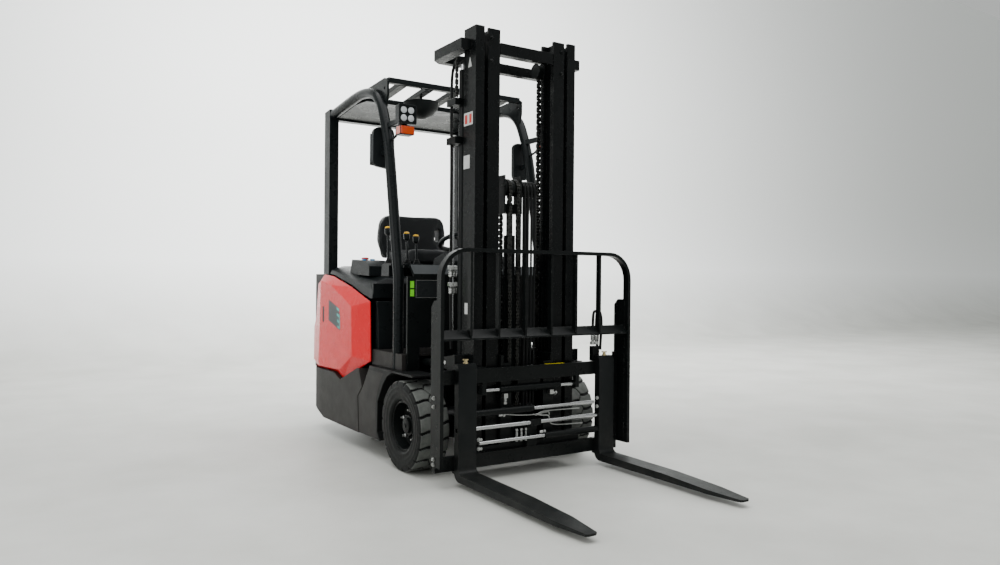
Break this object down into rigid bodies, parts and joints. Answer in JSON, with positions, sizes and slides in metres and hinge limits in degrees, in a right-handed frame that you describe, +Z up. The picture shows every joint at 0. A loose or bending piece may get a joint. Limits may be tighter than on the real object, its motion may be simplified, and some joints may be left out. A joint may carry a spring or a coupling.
{
  "type": "three-wheel electric counterbalance forklift",
  "caption": "Compact electric counterbalance forklift in black, red and warm grey, with a raised-view mast, overhead guard, load backrest and fork positioner.",
  "frame": {"origin": "on the floor, at the middle of the whole truck's length and width with its forks", "axes": "+Z up, -Y the way the truck drives forwards, so +X is its left side"},
  "size_m": [1.15, 2.782, 2.216],
  "materials": {
    "black_paint": "satin powder coat",
    "red_paint": "gloss",
    "grey_casting": "textured dark grey paint",
    "grey_paint": "textured dark grey",
    "dark_plastic": "grained",
    "seat_vinyl": "grained vinyl",
    "tyre_rubber": "matt",
    "chromed_rod": "polished"
  },
  "bodies": {
    "chassis": {"chassis_frame": "black_paint", "front_axle": "black_paint", "battery": "dark_plastic", "counterweight": "grey_casting", "right_fender": "grey_paint", "left_fender": "grey_paint", "right_side_panel": "red_paint", "left_side_panel": "red_paint", "floor_plate": "grey_paint", "seat_skirt": "dark_plastic", "front_cowl": "black_paint", "dashboard": "dark_plastic", "lever_console": "dark_plastic", "right_guard_frame": "black_paint", "left_guard_frame": "black_paint", "roof_grille": "black_paint", "roof_panel": "black_paint", "interior_mirror": "dark_plastic", "right_headlamp": "dark_plastic", "left_headlamp": "dark_plastic", "right_mirror": "dark_plastic", "left_mirror": "dark_plastic"},
    "hood": {"seat_hood": "dark_plastic", "seat_cushion": "seat_vinyl", "seat_back": "seat_vinyl"},
    "steering": {"steering_wheel": "dark_plastic"},
    "steer_unit": {"steer_yoke": "black_paint"},
    "rear_wheels": {"rear_hub": "black_paint", "right_rear_tyre": "tyre_rubber", "left_rear_tyre": "tyre_rubber"},
    "right_front_wheel": {"right_front_rim": "black_paint", "right_front_tyre": "tyre_rubber"},
    "left_front_wheel": {"left_front_rim": "black_paint", "left_front_tyre": "tyre_rubber"},
    "mast": {"outer_mast": "black_paint", "right_lift_cylinder": "black_paint", "left_lift_cylinder": "black_paint"},
    "middle_stage": {"middle_mast": "black_paint", "right_lift_rod": "chromed_rod", "left_lift_rod": "chromed_rod"},
    "inner_stage": {"inner_mast": "black_paint", "free_lift_cylinder": "black_paint"},
    "crosshead": {"crosshead": "black_paint"},
    "carriage": {"carriage": "black_paint", "sideshift_cylinder": "black_paint"},
    "sideshifter": {"sideshifter": "black_paint", "load_backrest": "black_paint"},
    "right_fork": {"right_fork": "black_paint", "right_positioner_cylinder": "black_paint"},
    "left_fork": {"left_fork": "black_paint", "left_positioner_cylinder": "black_paint"},
    "tilt_barrels": {"right_tilt_cylinder": "black_paint", "left_tilt_cylinder": "black_paint"},
    "tilt_rods": {"right_tilt_rod": "chromed_rod", "left_tilt_rod": "chromed_rod"}
  },
  "joints": [
    {"name": "hood_hinge", "type": "hinge", "parent": "chassis", "child": "hood", "pos_m": [-0.012, 1.066, 1.015], "axis": [-1, 0, 0], "range_deg": [0, 50]},
    {"name": "steer", "type": "hinge", "parent": "chassis", "child": "steer_unit", "pos_m": [-0.012, 1.121, 0.42], "axis": [0, 0, 1], "range_deg": [-80, 80]},
    {"name": "steering_hinge", "type": "hinge", "parent": "chassis", "child": "steering", "pos_m": [-0.012, 0.221, 1.18], "axis": [0, -0.3162, -0.9487], "range_deg": [-360, 360]},
    {"name": "rear_wheel_roll", "type": "hinge", "parent": "steer_unit", "child": "rear_wheels", "pos_m": [-0.012, 1.121, 0.19], "axis": [1, 0, 0], "continuous": true},
    {"name": "right_wheel_roll", "type": "hinge", "parent": "chassis", "child": "right_front_wheel", "pos_m": [-0.469, -0.049, 0.2285], "axis": [1, 0, 0], "continuous": true},
    {"name": "left_wheel_roll", "type": "hinge", "parent": "chassis", "child": "left_front_wheel", "pos_m": [0.445, -0.049, 0.2285], "axis": [1, 0, 0], "continuous": true},
    {"name": "mast_tilt", "type": "hinge", "parent": "chassis", "child": "mast", "pos_m": [-0.012, -0.179, 0.22], "axis": [1, 0, 0], "range_deg": [-5, 3]},
    {"name": "tilt_barrel_swing", "type": "hinge", "parent": "chassis", "child": "tilt_barrels", "pos_m": [-0.012, 0.351, 0.5], "axis": [1, 0, 0], "range_deg": [-0.75, 0.45]},
    {"name": "tilt_rod_slide", "type": "slide", "parent": "tilt_barrels", "child": "tilt_rods", "axis": [0, -0.9946, 0.1038], "range_m": [-0.0295, 0.018]},
    {"name": "mast_lift", "type": "slide", "parent": "mast", "child": "middle_stage", "axis": [0, 0, 1], "range_m": [0, 1.62]},
    {"name": "inner_lift", "type": "slide", "parent": "middle_stage", "child": "inner_stage", "axis": [0, 0, 1], "range_m": [0, 1.62]},
    {"name": "carriage_lift", "type": "slide", "parent": "inner_stage", "child": "carriage", "axis": [0, 0, 1], "range_m": [0, 1.4]},
    {"name": "crosshead_lift", "type": "slide", "parent": "inner_stage", "child": "crosshead", "axis": [0, 0, 1], "range_m": [0, 0.7]},
    {"name": "sideshift", "type": "slide", "parent": "carriage", "child": "sideshifter", "axis": [1, 0, 0], "range_m": [-0.08, 0.08]},
    {"name": "right_fork_slide", "type": "slide", "parent": "sideshifter", "child": "right_fork", "axis": [1, 0, 0], "range_m": [-0.02, 0.13]},
    {"name": "left_fork_slide", "type": "slide", "parent": "sideshifter", "child": "left_fork", "axis": [1, 0, 0], "range_m": [-0.13, 0.02]}
  ],
  "couplings": [
    {"joint": "steering_hinge", "follows": "steer", "ratio": 4.5},
    {"joint": "tilt_barrel_swing", "follows": "mast_tilt", "ratio": 0.13845},
    {"joint": "tilt_rod_slide", "follows": "mast_tilt", "m_per_rad": 0.3335},
    {"joint": "inner_lift", "follows": "mast_lift", "ratio": 1},
    {"joint": "crosshead_lift", "follows": "carriage_lift", "ratio": 0.5},
    {"joint": "left_fork_slide", "follows": "right_fork_slide", "ratio": -1}
  ]
}
